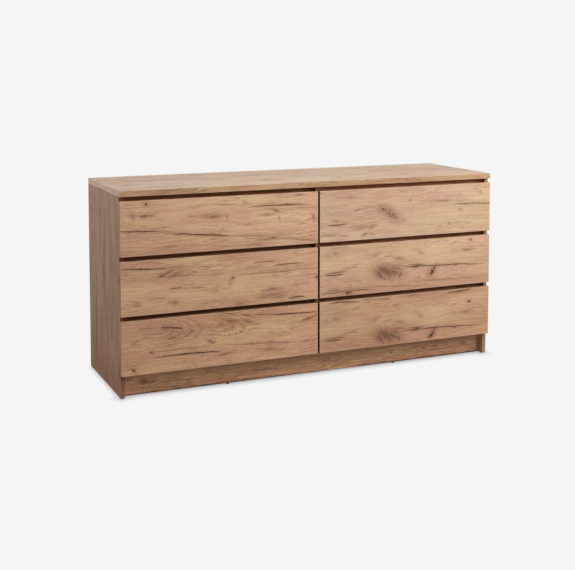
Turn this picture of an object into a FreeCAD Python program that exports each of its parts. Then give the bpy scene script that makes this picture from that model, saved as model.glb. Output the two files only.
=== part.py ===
"""Wide chest of six handle-less drawers, in two columns of three.

Frame: millimetres, +Z up, +X to the right, the drawer fronts facing -Y.
Origin: on the floor, at the centre of the footprint.
Each call of save() writes one named piece of the chest.
"""
import FreeCAD, Part
import os

os.makedirs("parts", exist_ok=True)

# Overall size
WIDTH = 1600.0
DEPTH = 500.0
HEIGHT = 780.0

# Boards
BOARD = 16.0
TOP_THICKNESS = 22.0
BACK_THICKNESS = 3.0
EDGE_RADIUS = 1.0

# Drawer fronts and the finger gaps above them
FRONT_HEIGHT = 205.0
FINGER_GAP = 17.0
COLUMN_GAP = 8.0
BUMPER_GAP = 1.5

# Base
GLIDE_HEIGHT = 5.0
GLIDE_RADIUS = 7.0
GLIDE_CHAMFER = 1.0
GLIDE_SETBACK = 22.0
PLINTH_GLIDE_OFFSET = 366.0
PLINTH_SETBACK = 28.0
BOTTOM_LIFT = 1.0

# Rails that close the finger gaps at the back
RAIL_SETBACK = 20.0
TOP_RAIL_HEIGHT = 40.0
MIDDLE_RAIL_HEIGHT = 60.0

# Back boards, set in a little from the carcass's edges
BACK_LIFT = 3.0
BACK_INSET = 1.0
BACK_DROP = 2.0
BACK_SEAM = 1.0

# Drawer boxes
BOX_BOARD = 12.0
BOX_HEIGHT = 140.0
BOX_LENGTH = 456.0
BOX_LIFT = 27.0
BOX_BOTTOM = 3.0
GROOVE_LIFT = 8.0
GROOVE_DEPTH = 6.0
GROOVE_PLAY = 0.2

# Ball runners: a channel on the cabinet, a narrower one on the drawer, and a ball cage between
RUNNER_LENGTH = 450.0
RUNNER_TRAVEL = 330.0
RUNNER_DEPTH = 12.5
RUNNER_LIFT = 45.0
RUNNER_SETBACK = 2.5
STEEL = 1.2
OUTER_HEIGHT = 35.0
OUTER_REACH = 9.5
OUTER_LIP = 2.0
INNER_HEIGHT = 19.0
INNER_REACH = 8.9
CAGE_STEEL = 0.6
CAGE_HEIGHT = 26.4
CAGE_REACH = 8.0
CAGE_OFFSET = 1.5
BALL_RADIUS = 3.0
BALL_OFFSET = 5.3
BALLS_PER_ROW = 3
BALL_PLAY = 0.1

# Cam fasteners, set in round pockets
CAM_RADIUS = 7.5
CAM_LENGTH = 12.0
CAM_INSET = 34.0
CAM_PLAY = 0.1
CAM_SLOT_WIDTH = 1.6
CAM_SLOT_LENGTH = 9.0
CAM_SLOT_DEPTH = 2.0
CAM_ROWS = (-180.0, 180.0)

# Derived places
HALF = WIDTH / 2
FACE_Y = -DEPTH / 2
FRONT_BACK_Y = FACE_Y + BOARD
CARCASS_Y = FRONT_BACK_Y + BUMPER_GAP
REAR_Y = DEPTH / 2
BACK_Y = REAR_Y - BACK_THICKNESS
SIDE_INNER = HALF - BOARD
CENTRE_HALF = BOARD / 2
TOP_UNDERSIDE = HEIGHT - TOP_THICKNESS
FRONT_PITCH = FRONT_HEIGHT + FINGER_GAP
LOWEST_FRONT = TOP_UNDERSIDE - 3 * FRONT_PITCH
BOTTOM_UNDERSIDE = LOWEST_FRONT + BOTTOM_LIFT
BOTTOM_TOP = BOTTOM_UNDERSIDE + BOARD
PLINTH_Y = CARCASS_Y + PLINTH_SETBACK
RAIL_Y = CARCASS_Y + RAIL_SETBACK
BAY_WIDTH = SIDE_INNER - CENTRE_HALF
BAY_CENTRE = (SIDE_INNER + CENTRE_HALF) / 2
BOX_WIDTH = BAY_WIDTH - 2 * RUNNER_DEPTH
RUNNER_Y = CARCASS_Y + RUNNER_SETBACK
CAGE_LENGTH = RUNNER_LENGTH - RUNNER_TRAVEL
CAGE_Y = RUNNER_Y + (RUNNER_LENGTH - CAGE_LENGTH) / 2

COLUMNS = {"left": -1, "right": 1}
ROWS = {"bottom": 0, "middle": 1, "top": 2}


def box(x, y, z):
    """A block from three (low, high) pairs."""
    corner = FreeCAD.Vector(x[0], y[0], z[0])
    return Part.makeBox(x[1] - x[0], y[1] - y[0], z[1] - z[0], corner)


def board(x, y, z):
    """A laminated board with all its edges slightly rounded."""
    block = box(x, y, z)
    return block.makeFillet(EDGE_RADIUS, block.Edges)


def upright(x, y, z):
    """A board with only the edges of its front face rounded, because its other edges meet boards."""
    block = box(x, y, z)
    front = [edge for edge in block.Edges if abs(edge.BoundBox.YMax - y[0]) < EDGE_RADIUS / 10]
    return block.makeFillet(EDGE_RADIUS, front)


def mirrored(low, high, side):
    """A (low, high) pair along X, mirrored for the left-hand side."""
    return (low, high) if side > 0 else (-high, -low)


def save(node, solids):
    """Write one node, which holds one solid or several separate ones."""
    shape = solids[0] if len(solids) == 1 else Part.makeCompound(solids)
    if not shape.isValid():
        raise ValueError(node + " is not valid")
    shape.exportStep(os.path.join("parts", node + ".step"))


def cam_pocket(place, direction):
    """The round pocket for a cam; place is the centre of its mouth, direction points into the board."""
    return Part.makeCylinder(CAM_RADIUS + CAM_PLAY, CAM_LENGTH + CAM_PLAY, place, direction)


def cam(place, direction):
    """A cam with a screwdriver slot in its face."""
    body = Part.makeCylinder(CAM_RADIUS, CAM_LENGTH, place, direction)
    slot = Part.makeBox(CAM_SLOT_LENGTH, CAM_SLOT_WIDTH, CAM_SLOT_DEPTH)
    slot.translate(FreeCAD.Vector(-CAM_SLOT_LENGTH / 2, -CAM_SLOT_WIDTH / 2, 0))
    turn = FreeCAD.Rotation(FreeCAD.Vector(0, 0, 1), direction)
    slot.Placement = FreeCAD.Placement(place, turn).multiply(slot.Placement)
    return body.cut(slot)


class Cams:
    """Collects the cams as the boards that hold them are cut."""

    def __init__(self):
        self.solids = []

    def fit(self, panel, places, direction):
        """The panel with pockets cut at the places; the cams join the list."""
        into = FreeCAD.Vector(*direction)
        for place in places:
            mouth = FreeCAD.Vector(*place)
            panel = panel.cut(cam_pocket(mouth, into))
            self.solids.append(cam(mouth, into))
        return panel


cams = Cams()


def make_top():
    span = (-HALF, HALF)
    save("top_panel", [board(span, (FACE_Y, BACK_Y), (TOP_UNDERSIDE, HEIGHT))])


def make_sides():
    """Side panels, each held to the top by two cams in its inner face."""
    for name, side in COLUMNS.items():
        across = mirrored(SIDE_INNER, HALF, side)
        panel = upright(across, (CARCASS_Y, BACK_Y), (GLIDE_HEIGHT, TOP_UNDERSIDE))
        places = [(side * SIDE_INNER, y, TOP_UNDERSIDE - CAM_INSET) for y in CAM_ROWS]
        save("side_panel_" + name, [cams.fit(panel, places, (side, 0, 0))])


def make_centre():
    """The upright between the two columns, held at both ends by cams in its right face."""
    panel = box((-CENTRE_HALF, CENTRE_HALF), (CARCASS_Y, BACK_Y), (BOTTOM_TOP, TOP_UNDERSIDE))
    levels = (BOTTOM_TOP + CAM_INSET, TOP_UNDERSIDE - CAM_INSET)
    places = [(CENTRE_HALF, y, z) for y in CAM_ROWS for z in levels]
    save("centre_panel", [cams.fit(panel, places, (-1, 0, 0))])


def make_bottom():
    """The bottom board between the side panels, held by cams in its underside."""
    panel = box((-SIDE_INNER, SIDE_INNER), (CARCASS_Y, BACK_Y), (BOTTOM_UNDERSIDE, BOTTOM_TOP))
    ends = (CAM_INSET - SIDE_INNER, SIDE_INNER - CAM_INSET)
    places = [(x, y, BOTTOM_UNDERSIDE) for x in ends for y in CAM_ROWS]
    save("bottom_panel", [cams.fit(panel, places, (0, 0, 1))])


def make_base():
    """The recessed plinth, and the brace behind it that carries the middle of the bottom board."""
    level = (GLIDE_HEIGHT, BOTTOM_UNDERSIDE)
    plinth_back = PLINTH_Y + BOARD
    save("plinth", [box((-SIDE_INNER, SIDE_INNER), (PLINTH_Y, plinth_back), level)])
    save("base_brace", [box((-CENTRE_HALF, CENTRE_HALF), (plinth_back, BACK_Y), level)])


def make_backs():
    """Two thin back boards that meet behind the centre panel."""
    level = (GLIDE_HEIGHT + BACK_LIFT, HEIGHT - BACK_DROP)
    for name, side in COLUMNS.items():
        across = mirrored(BACK_SEAM / 2, HALF - BACK_INSET, side)
        save("back_panel_" + name, [box(across, (BACK_Y, REAR_Y), level)])


def make_rail(name, side, level):
    """A rail across one bay, with a cam in its back face at each end."""
    across = mirrored(CENTRE_HALF, SIDE_INNER, side)
    rail = box(across, (RAIL_Y, RAIL_Y + BOARD), level)
    middle = (level[0] + level[1]) / 2
    ends = (across[0] + CAM_INSET, across[1] - CAM_INSET)
    places = [(x, RAIL_Y + BOARD, middle) for x in ends]
    save(name, [cams.fit(rail, places, (0, -1, 0))])


def make_rails():
    """The rails behind the finger gaps: one under the top and two lower ones in each bay."""
    for name, side in COLUMNS.items():
        make_rail("top_rail_" + name, side, (TOP_UNDERSIDE - TOP_RAIL_HEIGHT, TOP_UNDERSIDE))
        for row, label in ((1, "lower"), (2, "upper")):
            centre = LOWEST_FRONT + row * FRONT_PITCH - FINGER_GAP / 2
            level = (centre - MIDDLE_RAIL_HEIGHT / 2, centre + MIDDLE_RAIL_HEIGHT / 2)
            make_rail(label + "_rail_" + name, side, level)


def glide(x, y):
    """A plastic glide under a board's edge, chamfered where it meets the floor."""
    straight = GLIDE_HEIGHT - GLIDE_CHAMFER
    foot = FreeCAD.Vector(x, y, 0)
    narrow = GLIDE_RADIUS - GLIDE_CHAMFER
    lower = Part.makeCone(narrow, GLIDE_RADIUS, GLIDE_CHAMFER, foot)
    upper = Part.makeCylinder(GLIDE_RADIUS, straight, foot + FreeCAD.Vector(0, 0, GLIDE_CHAMFER))
    return lower.fuse(upper).removeSplitter()


def make_glides():
    """Eight glides: two under each side panel and the brace, and one under each half of the plinth."""
    front = CARCASS_Y + GLIDE_SETBACK
    rear = BACK_Y - GLIDE_SETBACK
    places = [(x, y) for x in (CENTRE_HALF - HALF, HALF - CENTRE_HALF) for y in (front, rear)]
    places += [(0, PLINTH_Y + BOARD + GLIDE_SETBACK), (0, rear)]
    places += [(x, PLINTH_Y + BOARD / 2) for x in (-PLINTH_GLIDE_OFFSET, PLINTH_GLIDE_OFFSET)]
    save("glides", [glide(x, y) for x, y in places])


def profile(rectangles, y):
    """A bar along Y whose section is the union of rectangles in X and Z."""
    bars = [box(x, y, z) for x, z in rectangles]
    return bars[0].multiFuse(bars[1:]).removeSplitter()


def runner_faces(side):
    """For one bay: each runner's wall plane along X, and the direction from the wall to the drawer."""
    near, far = mirrored(CENTRE_HALF, SIDE_INNER, side)
    return ((near, 1), (far, -1))


def from_wall(wall, inward, low, high):
    """A span measured from a runner's wall towards the drawer, as a (low, high) pair along X."""
    first = wall + inward * low
    second = wall + inward * high
    return (min(first, second), max(first, second))


def outer_runner(wall, inward, axis_z):
    """The cabinet's channel: a web on the wall, two flanges, and lips that keep the balls in."""
    half = OUTER_HEIGHT / 2
    inside = half - STEEL
    web = from_wall(wall, inward, 0, STEEL)
    flange = from_wall(wall, inward, 0, OUTER_REACH)
    lip = from_wall(wall, inward, OUTER_REACH - STEEL, OUTER_REACH)
    rectangles = [
        (web, (axis_z - half, axis_z + half)),
        (flange, (axis_z + inside, axis_z + half)),
        (flange, (axis_z - half, axis_z - inside)),
        (lip, (axis_z + inside - OUTER_LIP, axis_z + half)),
        (lip, (axis_z - half, axis_z - inside + OUTER_LIP)),
    ]
    return profile(rectangles, (RUNNER_Y, RUNNER_Y + RUNNER_LENGTH))


def inner_runner(wall, inward, axis_z):
    """The drawer's channel: a web on the drawer's side and two flanges that the balls roll on."""
    half = INNER_HEIGHT / 2
    web = from_wall(wall, inward, RUNNER_DEPTH - STEEL, RUNNER_DEPTH)
    flange = from_wall(wall, inward, RUNNER_DEPTH - INNER_REACH, RUNNER_DEPTH)
    rectangles = [
        (web, (axis_z - half, axis_z + half)),
        (flange, (axis_z + half - STEEL, axis_z + half)),
        (flange, (axis_z - half, axis_z - half + STEEL)),
    ]
    return profile(rectangles, (RUNNER_Y, RUNNER_Y + RUNNER_LENGTH))


def ball_cage(wall, inward, axis_z):
    """The cage and its balls: a thin channel with a row of balls in each flange."""
    half = CAGE_HEIGHT / 2
    web = from_wall(wall, inward, CAGE_OFFSET, CAGE_OFFSET + CAGE_STEEL)
    flange = from_wall(wall, inward, CAGE_OFFSET, CAGE_OFFSET + CAGE_REACH)
    rectangles = [
        (web, (axis_z - half, axis_z + half)),
        (flange, (axis_z + half - CAGE_STEEL, axis_z + half)),
        (flange, (axis_z - half, axis_z - half + CAGE_STEEL)),
    ]
    cage = profile(rectangles, (CAGE_Y, CAGE_Y + CAGE_LENGTH))
    balls = []
    step = CAGE_LENGTH / BALLS_PER_ROW
    x = wall + inward * BALL_OFFSET
    for up in (-1, 1):
        z = axis_z + up * (half - CAGE_STEEL / 2)
        for index in range(BALLS_PER_ROW):
            centre = FreeCAD.Vector(x, CAGE_Y + step * (index + 0.5), z)
            cage = cage.cut(Part.makeSphere(BALL_RADIUS + BALL_PLAY, centre))
            balls.append(Part.makeSphere(BALL_RADIUS, centre))
    return cage.Solids + balls


def make_cabinet_runners():
    """Twelve identical channels, one on each side of each drawer."""
    channels = []
    for side in COLUMNS.values():
        for row in ROWS.values():
            axis_z = LOWEST_FRONT + row * FRONT_PITCH + BOX_LIFT + RUNNER_LIFT
            channels += [outer_runner(wall, inward, axis_z) for wall, inward in runner_faces(side)]
    save("cabinet_runners", channels)


def make_drawer(prefix, side, row):
    """One drawer: its front, box, runner channels and ball cages."""
    front_z = LOWEST_FRONT + row * FRONT_PITCH
    box_z = front_z + BOX_LIFT
    box_top = box_z + BOX_HEIGHT
    middle = side * BAY_CENTRE
    left = middle - BOX_WIDTH / 2
    right = middle + BOX_WIDTH / 2
    rear = FRONT_BACK_Y + BOX_LENGTH
    groove_z = (box_z + GROOVE_LIFT, box_z + GROOVE_LIFT + BOX_BOTTOM + GROOVE_PLAY)
    groove_x = (left + BOX_BOARD - GROOVE_DEPTH, right - BOX_BOARD + GROOVE_DEPTH)
    groove_y = (FRONT_BACK_Y - GROOVE_DEPTH, rear - BOX_BOARD + GROOVE_DEPTH)
    groove = box(groove_x, groove_y, groove_z)

    across = mirrored(COLUMN_GAP / 2, HALF, side)
    face = board(across, (FACE_Y, FRONT_BACK_Y), (front_z, front_z + FRONT_HEIGHT))
    save(prefix + "_front", [face.cut(groove)])

    length = (FRONT_BACK_Y, rear)
    level = (box_z, box_top)
    save(prefix + "_box_left_side", [box((left, left + BOX_BOARD), length, level).cut(groove)])
    save(prefix + "_box_right_side", [box((right - BOX_BOARD, right), length, level).cut(groove)])
    back = box((left + BOX_BOARD, right - BOX_BOARD), (rear - BOX_BOARD, rear), level)
    save(prefix + "_box_back", [back.cut(groove)])

    play = GROOVE_PLAY / 2
    sheet_x = (groove_x[0] + play, groove_x[1] - play)
    sheet_y = (groove_y[0] + play, groove_y[1] - play)
    sheet_z = (groove_z[0], groove_z[1] - GROOVE_PLAY)
    save(prefix + "_box_bottom", [box(sheet_x, sheet_y, sheet_z)])

    axis_z = box_z + RUNNER_LIFT
    channels = []
    cages = []
    for wall, inward in runner_faces(side):
        channels.append(inner_runner(wall, inward, axis_z))
        cages += ball_cage(wall, inward, axis_z)
    save(prefix + "_box_runners", channels)
    save(prefix + "_ball_cages", cages)


make_top()
make_sides()
make_centre()
make_bottom()
make_base()
make_backs()
make_rails()
make_glides()
make_cabinet_runners()
for column_name, column_side in COLUMNS.items():
    for row_name, row_index in ROWS.items():
        make_drawer(row_name + "_" + column_name, column_side, row_index)
save("cam_fasteners", cams.solids)
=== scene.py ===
"""Looks of the wide six-drawer chest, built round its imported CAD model. Lengths are in metres."""

import math

import bmesh
import bpy
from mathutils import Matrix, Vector


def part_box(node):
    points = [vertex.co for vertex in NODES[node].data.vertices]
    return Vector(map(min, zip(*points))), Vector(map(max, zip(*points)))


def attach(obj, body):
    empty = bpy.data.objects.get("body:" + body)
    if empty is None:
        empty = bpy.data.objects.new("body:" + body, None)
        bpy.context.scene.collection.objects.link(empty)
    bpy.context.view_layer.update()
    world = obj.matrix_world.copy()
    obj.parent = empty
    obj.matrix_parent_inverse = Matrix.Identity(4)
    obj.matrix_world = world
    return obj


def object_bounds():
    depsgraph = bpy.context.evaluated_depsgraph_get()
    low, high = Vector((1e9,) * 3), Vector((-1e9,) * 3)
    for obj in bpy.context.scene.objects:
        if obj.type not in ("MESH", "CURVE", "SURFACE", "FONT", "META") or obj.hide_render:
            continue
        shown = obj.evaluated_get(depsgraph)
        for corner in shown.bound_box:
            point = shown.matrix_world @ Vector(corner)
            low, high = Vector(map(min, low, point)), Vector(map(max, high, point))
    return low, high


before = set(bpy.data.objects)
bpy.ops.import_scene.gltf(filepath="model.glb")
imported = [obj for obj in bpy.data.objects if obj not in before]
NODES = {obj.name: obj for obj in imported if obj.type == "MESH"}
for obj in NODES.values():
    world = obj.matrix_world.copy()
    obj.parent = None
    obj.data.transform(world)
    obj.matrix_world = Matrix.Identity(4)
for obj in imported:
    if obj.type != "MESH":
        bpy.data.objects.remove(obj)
cad_low, cad_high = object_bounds()

SIDES = ("left", "right")
ROWS = ("top", "middle", "bottom")
DRAWERS = [f"{row}_{side}" for row in ROWS for side in SIDES]
AXES = "XYZ"


def srgb(red, green, blue):
    """A screen colour, 0 to 255, as the linear colour that shaders take."""
    def linear(value):
        share = value / 255
        return share / 12.92 if share <= 0.04045 else ((share + 0.055) / 1.055) ** 2.4
    return (linear(red), linear(green), linear(blue), 1.0)


# -------------------- node trees

class Tree:
    """Adds nodes to a node tree and links them, so that a material reads like a formula."""

    def __init__(self, tree):
        self.tree = tree

    def feed(self, socket, source):
        if isinstance(source, bpy.types.NodeSocket):
            self.tree.links.new(source, socket)
        else:
            socket.default_value = source

    def add(self, kind, *sources, **settings):
        """A node with its first sockets fed and its settings made."""
        node = self.tree.nodes.new(kind)
        for name, value in settings.items():
            setattr(node, name, value)
        for socket, source in zip(node.inputs, sources):
            self.feed(socket, source)
        return node

    def math(self, operation, *sources, clamp=False):
        return self.add("ShaderNodeMath", *sources, operation=operation, use_clamp=clamp).outputs[0]

    def times(self, first, second, clamp=False):
        return self.math("MULTIPLY", first, second, clamp=clamp)

    def vector(self, operation, *sources):
        node = self.add("ShaderNodeVectorMath", *sources, operation=operation)
        return node.outputs["Value" if operation == "LENGTH" else "Vector"]

    def place(self):
        """A point's place in its object's own axes, in metres."""
        return self.add("ShaderNodeTexCoord").outputs["Object"]

    def split(self, vector):
        return self.add("ShaderNodeSeparateXYZ", vector).outputs

    def join(self, x, y, z):
        return self.add("ShaderNodeCombineXYZ", x, y, z).outputs[0]

    def fade(self, value, start, end, low=0.0, high=1.0):
        """A smooth step from low at start to high at end."""
        node = self.add("ShaderNodeMapRange", interpolation_type="SMOOTHSTEP")
        for socket, source in zip(node.inputs, (value, start, end, low, high)):
            self.feed(socket, source)
        return node.outputs[0]

    def noise(self, vector, scale=1.0, detail=2.0, roughness=0.5, distortion=0.0):
        node = self.add("ShaderNodeTexNoise")
        self.feed(node.inputs["Vector"], vector)
        for name, value in (("Scale", scale), ("Detail", detail), ("Roughness", roughness),
                            ("Distortion", distortion)):
            node.inputs[name].default_value = value
        return node.outputs

    def mix(self, factor, first, second):
        """A colour: first where factor is 0, second where it is 1."""
        node = self.add("ShaderNodeMix", data_type="RGBA")
        self.feed(node.inputs["Factor"], factor)
        self.feed(node.inputs[6], first)
        self.feed(node.inputs[7], second)
        return node.outputs[2]

    def group(self, tree, **sources):
        """A node group, fed by the names of its sockets: its outputs."""
        node = self.add("ShaderNodeGroup", node_tree=tree)
        for name, source in sources.items():
            self.feed(node.inputs[name], source)
        return node.outputs


SOCKETS = {"float": "NodeSocketFloat", "vector": "NodeSocketVector", "colour": "NodeSocketColor"}


def new_group(name, inputs, outputs):
    """A node group with the named sockets: (its Tree, its input sockets, its output node)."""
    tree = bpy.data.node_groups.new(name, "ShaderNodeTree")
    for direction, sockets in (("INPUT", inputs), ("OUTPUT", outputs)):
        for label, kind in sockets:
            tree.interface.new_socket(label, in_out=direction, socket_type=SOCKETS[kind])
    source = tree.nodes.new("NodeGroupInput")
    sink = tree.nodes.new("NodeGroupOutput")
    return Tree(tree), source.outputs, sink


def new_material(name):
    """A material with one Principled shader: (material, its Tree, the shader's inputs)."""
    material = bpy.data.materials.new(name)
    material.use_nodes = True
    shader = material.node_tree.nodes["Principled BSDF"]
    return material, Tree(material.node_tree), shader.inputs


def bump(tree, height, distance, strength=1.0):
    node = tree.add("ShaderNodeBump")
    node.inputs["Strength"].default_value = strength
    node.inputs["Distance"].default_value = distance
    tree.feed(node.inputs["Height"], height)
    return node.outputs[0]


def wear(material, names):
    """Gives one material to the CAD nodes named."""
    for name in names:
        mesh = NODES[name].data
        mesh.materials.clear()
        mesh.materials.append(material)


# -------------------- oak decor

OAK_LIGHT = srgb(226, 186, 149)
OAK_DARK = srgb(185, 137, 102)
OAK_PINK = srgb(219, 165, 141)
OAK_YELLOW = srgb(223, 190, 140)
OAK_RUSSET = srgb(180, 124, 94)
OAK_GREY = srgb(172, 142, 118)
# Also the colour of painted shade: the ends where the columns meet and the plinth's foot.
KNOT_AND_SHADE_BROWN = srgb(76, 45, 25)
HALO_BROWN = srgb(158, 108, 78)
FLECK_BROWN = srgb(138, 96, 66)
# The paler edges: wear and a painted highlight.
EDGE_WEAR_AND_HIGHLIGHT = srgb(228, 194, 160)

# The layers of the print: how often each repeats in a metre along and across the grain, its detail, and
# the noise at which it starts and at which it is full.
STREAKS = {
    "band": (1.2, 15.0, 3.0, 0.36, 0.64),
    "warmth": (3.0, 13.0, 2.0, 0.36, 0.64),
    "fine_warmth": (12.0, 110.0, 3.0, 0.42, 0.58),
    "grey": (1.3, 16.0, 2.0, 0.50, 0.70),
    "streak": (8.0, 130.0, 4.0, 0.42, 0.60),
    "gleam": (9.0, 150.0, 2.0, 0.48, 0.64),
    "patch": (5.0, 18.0, 1.0, 0.40, 0.62),
    "fleck": (22.0, 300.0, 2.0, 0.52, 0.60),
    "ray": (120.0, 26.0, 1.0, 0.50, 0.75),
}
# How often the grain bends in a metre along and across it, and how far.
GRAIN_BENDS = ((4.0, 9.0, 0.034), (20.0, 45.0, 0.005))
FIBRES = (26.0, 700.0)
PORES = (70.0, 1900.0)
PORE_RIM = (0.60, 0.70)
FINE_WARMTH = 0.45
BAND_SHARE = 0.42
GREY_SHARE = 0.24
STREAK_SHARE = 0.42
GLEAM_SHARE = 0.45
FLECK_SHARE = 0.58
RAY_SHARE = 0.16
EDGE_WEAR_AND_HIGHLIGHT_SHARE = 0.40
FIBRE_CONTRAST = 0.16
PORE_CONTRAST = 0.16
ROUGHNESS = 0.44
FIBRE_ROUGHNESS = 0.12
PORE_ROUGHNESS = 0.14
EDGE_ROUGHNESS = -0.08

# What every mark of the decor takes and gives: how dark it is, how tinted, how far the grain bends, and
# how much redder (above 0) or yellower (below 0) the wood is.
MARK_TOTALS = ("Shade", "Tint", "Lift", "Tone")
TOTAL_SOCKETS = [(label, "float") for label in MARK_TOTALS]


def pass_on(tree, given, sink, **changed):
    """Hands the totals on, with those that the mark has changed."""
    for label in MARK_TOTALS:
        tree.feed(sink.inputs[label], changed.get(label, given[label]))
    return tree.tree


def turned_place(tree, given):
    """The place as seen from the mark, turned by its tilt, in metres and in half sizes."""
    away = tree.vector("SUBTRACT", given["Place"], given["At"])
    turned = tree.add("ShaderNodeVectorRotate", rotation_type="Z_AXIS")
    tree.feed(turned.inputs["Vector"], away)
    tree.feed(turned.inputs["Angle"], tree.times(given["Tilt"], -1.0))
    return away, tree.vector("DIVIDE", turned.outputs[0], given["Half"])


def knot_group():
    """A knot: a dark ragged core in a tinted halo, with rings, and the grain parting round it."""
    tree, given, sink = new_group(
        "knot",
        [("Place", "vector"), ("Rough", "float"), ("At", "vector"), ("Half", "vector"),
         ("Tilt", "float"), ("Dark", "float"), ("Halo", "float"), ("Rings", "float"), *TOTAL_SOCKETS],
        TOTAL_SOCKETS)
    away, scaled = turned_place(tree, given)
    ragged = tree.math("MULTIPLY_ADD", given["Rough"], 3.2, -1.6)
    radius = tree.math("ADD", tree.vector("LENGTH", scaled), ragged)
    core = tree.times(tree.fade(radius, 1.25, 0.35), given["Dark"])
    halo = tree.times(tree.fade(radius, 3.4, 0.4), given["Halo"])
    wave = tree.math("SINE", tree.times(radius, 7.0))
    rings = tree.times(tree.times(tree.fade(wave, 0.0, 1.0), halo), given["Rings"])
    part = tree.fade(radius, 3.5, 0.0, 0.0, -0.8)
    bend = tree.times(tree.split(away)[1], part)
    return pass_on(
        tree, given, sink,
        Shade=tree.math("MAXIMUM", given["Shade"], tree.math("ADD", core, rings)),
        Tint=tree.math("MAXIMUM", given["Tint"], halo),
        Lift=tree.math("ADD", given["Lift"], bend))


def crack_group():
    """A crack: a thin dark line from Start to End, bowed, widest in its middle, with a soft tint."""
    tree, given, sink = new_group(
        "crack",
        [("Place", "vector"), ("Rough", "float"), ("Start", "vector"), ("End", "vector"),
         ("Width", "float"), ("Bow", "float"), ("Dark", "float"), *TOTAL_SOCKETS],
        TOTAL_SOCKETS)
    place = tree.split(given["Place"])
    start = tree.split(given["Start"])
    end = tree.split(given["End"])
    run = tree.math("SUBTRACT", end[0], start[0])
    share = tree.math("DIVIDE", tree.math("SUBTRACT", place[0], start[0]), run)
    belly = tree.times(tree.times(share, 4.0), tree.math("SUBTRACT", 1.0, share))
    rise = tree.times(tree.math("SUBTRACT", end[1], start[1]), share)
    line = tree.math("ADD", tree.math("MULTIPLY_ADD", given["Bow"], belly, start[1]), rise)
    off = tree.math("ABSOLUTE", tree.math("SUBTRACT", place[1], line))
    ragged = tree.math("MULTIPLY_ADD", given["Rough"], 2.4, -0.45)
    body = tree.math("SQRT", tree.math("MAXIMUM", belly, 0.0))
    half = tree.times(tree.times(given["Width"], ragged), body)
    depth = tree.math("DIVIDE", off, tree.math("MAXIMUM", half, 0.0001))
    core = tree.times(tree.fade(depth, 1.05, 0.45), given["Dark"])
    halo = tree.times(tree.times(tree.fade(depth, 4.5, 0.0), body), given["Dark"])
    return pass_on(
        tree, given, sink,
        Shade=tree.math("MAXIMUM", given["Shade"], core),
        Tint=tree.math("MAXIMUM", given["Tint"], tree.times(halo, 0.6)))


def stain_group():
    """A stain: a wide soft patch of redder or yellower wood."""
    tree, given, sink = new_group(
        "stain",
        [("Place", "vector"), ("Rough", "float"), ("At", "vector"), ("Half", "vector"),
         ("Tilt", "float"), ("Amount", "float"), *TOTAL_SOCKETS],
        TOTAL_SOCKETS)
    scaled = turned_place(tree, given)[1]
    ragged = tree.math("MULTIPLY_ADD", given["Rough"], 0.9, -0.45)
    radius = tree.math("ADD", tree.vector("LENGTH", scaled), ragged)
    patch = tree.times(tree.fade(radius, 1.3, 0.3), given["Amount"])
    return pass_on(tree, given, sink, Tone=tree.math("ADD", given["Tone"], patch))


def arcs_group():
    """Arcs: nested growth lines that bend round one end of a long oval."""
    tree, given, sink = new_group(
        "arcs",
        [("Place", "vector"), ("Rough", "float"), ("At", "vector"), ("Half", "vector"),
         ("Tilt", "float"), ("Lines", "float"), ("Dark", "float"), *TOTAL_SOCKETS],
        TOTAL_SOCKETS)
    scaled = turned_place(tree, given)[1]
    ragged = tree.math("MULTIPLY_ADD", given["Rough"], 0.44, -0.22)
    radius = tree.math("ADD", tree.vector("LENGTH", scaled), ragged)
    turns = tree.times(tree.times(radius, given["Lines"]), math.tau)
    broken = tree.fade(given["Rough"], 0.36, 0.58)
    line = tree.times(tree.fade(tree.math("SINE", turns), 0.0, 1.0), broken)
    inside = tree.times(tree.fade(radius, 1.1, 0.8), tree.fade(radius, 0.0, 0.25))
    bent = tree.times(inside, tree.fade(tree.split(scaled)[0], -0.35, 0.35))
    drawn = tree.times(tree.times(line, bent), given["Dark"])
    return pass_on(
        tree, given, sink,
        Shade=tree.math("ADD", given["Shade"], tree.times(drawn, 0.35)),
        Tint=tree.math("MAXIMUM", given["Tint"], drawn))


def edge_group():
    """How near a point is to an edge of its board: 1 on the edge, 0 from Width away."""
    tree, given, sink = new_group(
        "board_edge",
        [("Place", "vector"), ("Centre", "vector"), ("Half", "vector"), ("Width", "float")],
        [("Edge", "float")])
    off = tree.vector("ABSOLUTE", tree.vector("SUBTRACT", given["Place"], given["Centre"]))
    depth = tree.split(tree.vector("SUBTRACT", given["Half"], off))
    low = tree.math("MINIMUM", depth[0], depth[1])
    high = tree.math("MAXIMUM", depth[0], depth[1])
    second = tree.math("MAXIMUM", low, tree.math("MINIMUM", high, depth[2]))
    tree.feed(sink.inputs["Edge"], tree.fade(second, given["Width"], 0.0))
    return tree.tree


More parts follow.
